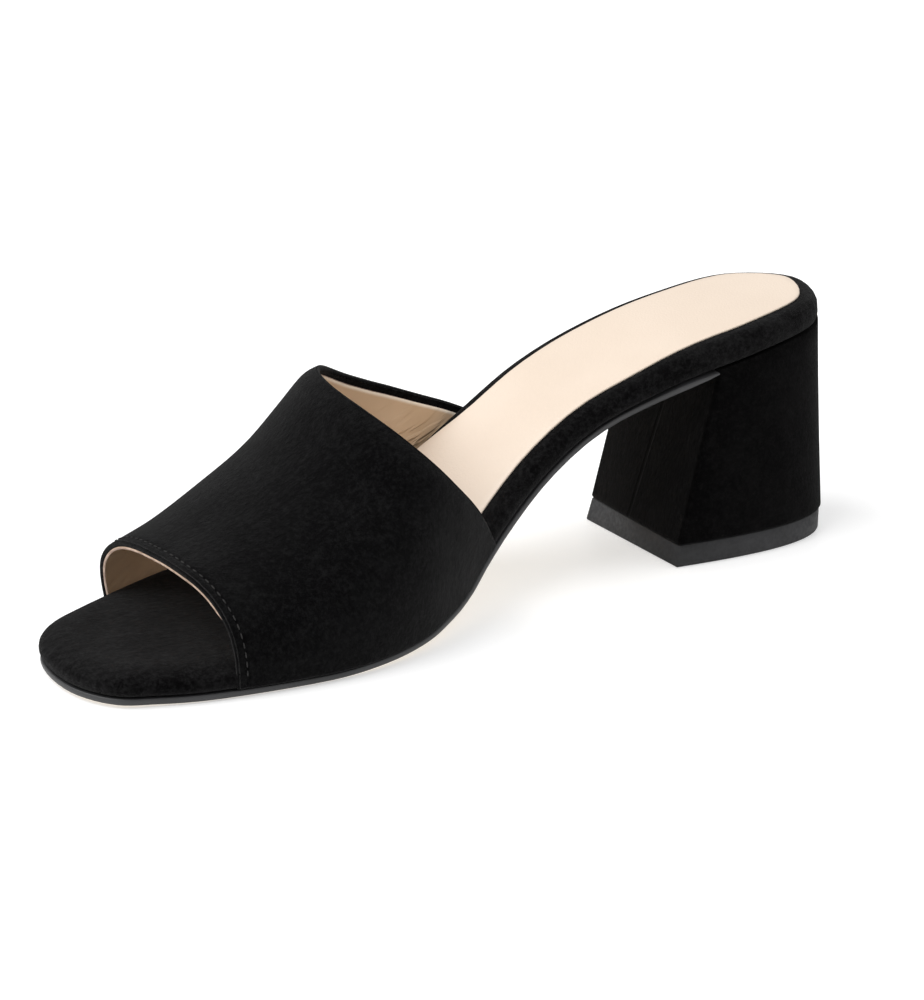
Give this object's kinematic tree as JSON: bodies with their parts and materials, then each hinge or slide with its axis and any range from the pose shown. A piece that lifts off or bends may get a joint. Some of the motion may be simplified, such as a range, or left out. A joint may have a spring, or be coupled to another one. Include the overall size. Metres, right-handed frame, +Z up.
{
  "type": "heeled sandal",
  "caption": "Backless open-toed suede slip-on for the right foot, with a broad strap over the instep and a flared block heel.",
  "frame": {"origin": "near the middle of the top lift's ground face, on the floor", "axes": "+X from heel to toe, +Y to the inner (big toe) side, +Z up"},
  "size_m": [0.2351, 0.0749, 0.0629],
  "materials": {
    "outsole": "smooth tan sole with a grey painted edge",
    "insole": "black suede wrap",
    "sock_lining": "smooth pale beige leather",
    "heel": "black suede cover",
    "top_lift": "matt dark grey rubber",
    "upper": "black suede with beige leather lining"
  },
  "bodies": {
    "root": {"outsole": "outsole", "insole": "insole", "sock_lining": "sock_lining", "heel": "heel", "top_lift": "top_lift", "upper": "upper"}
  },
  "joints": []
}
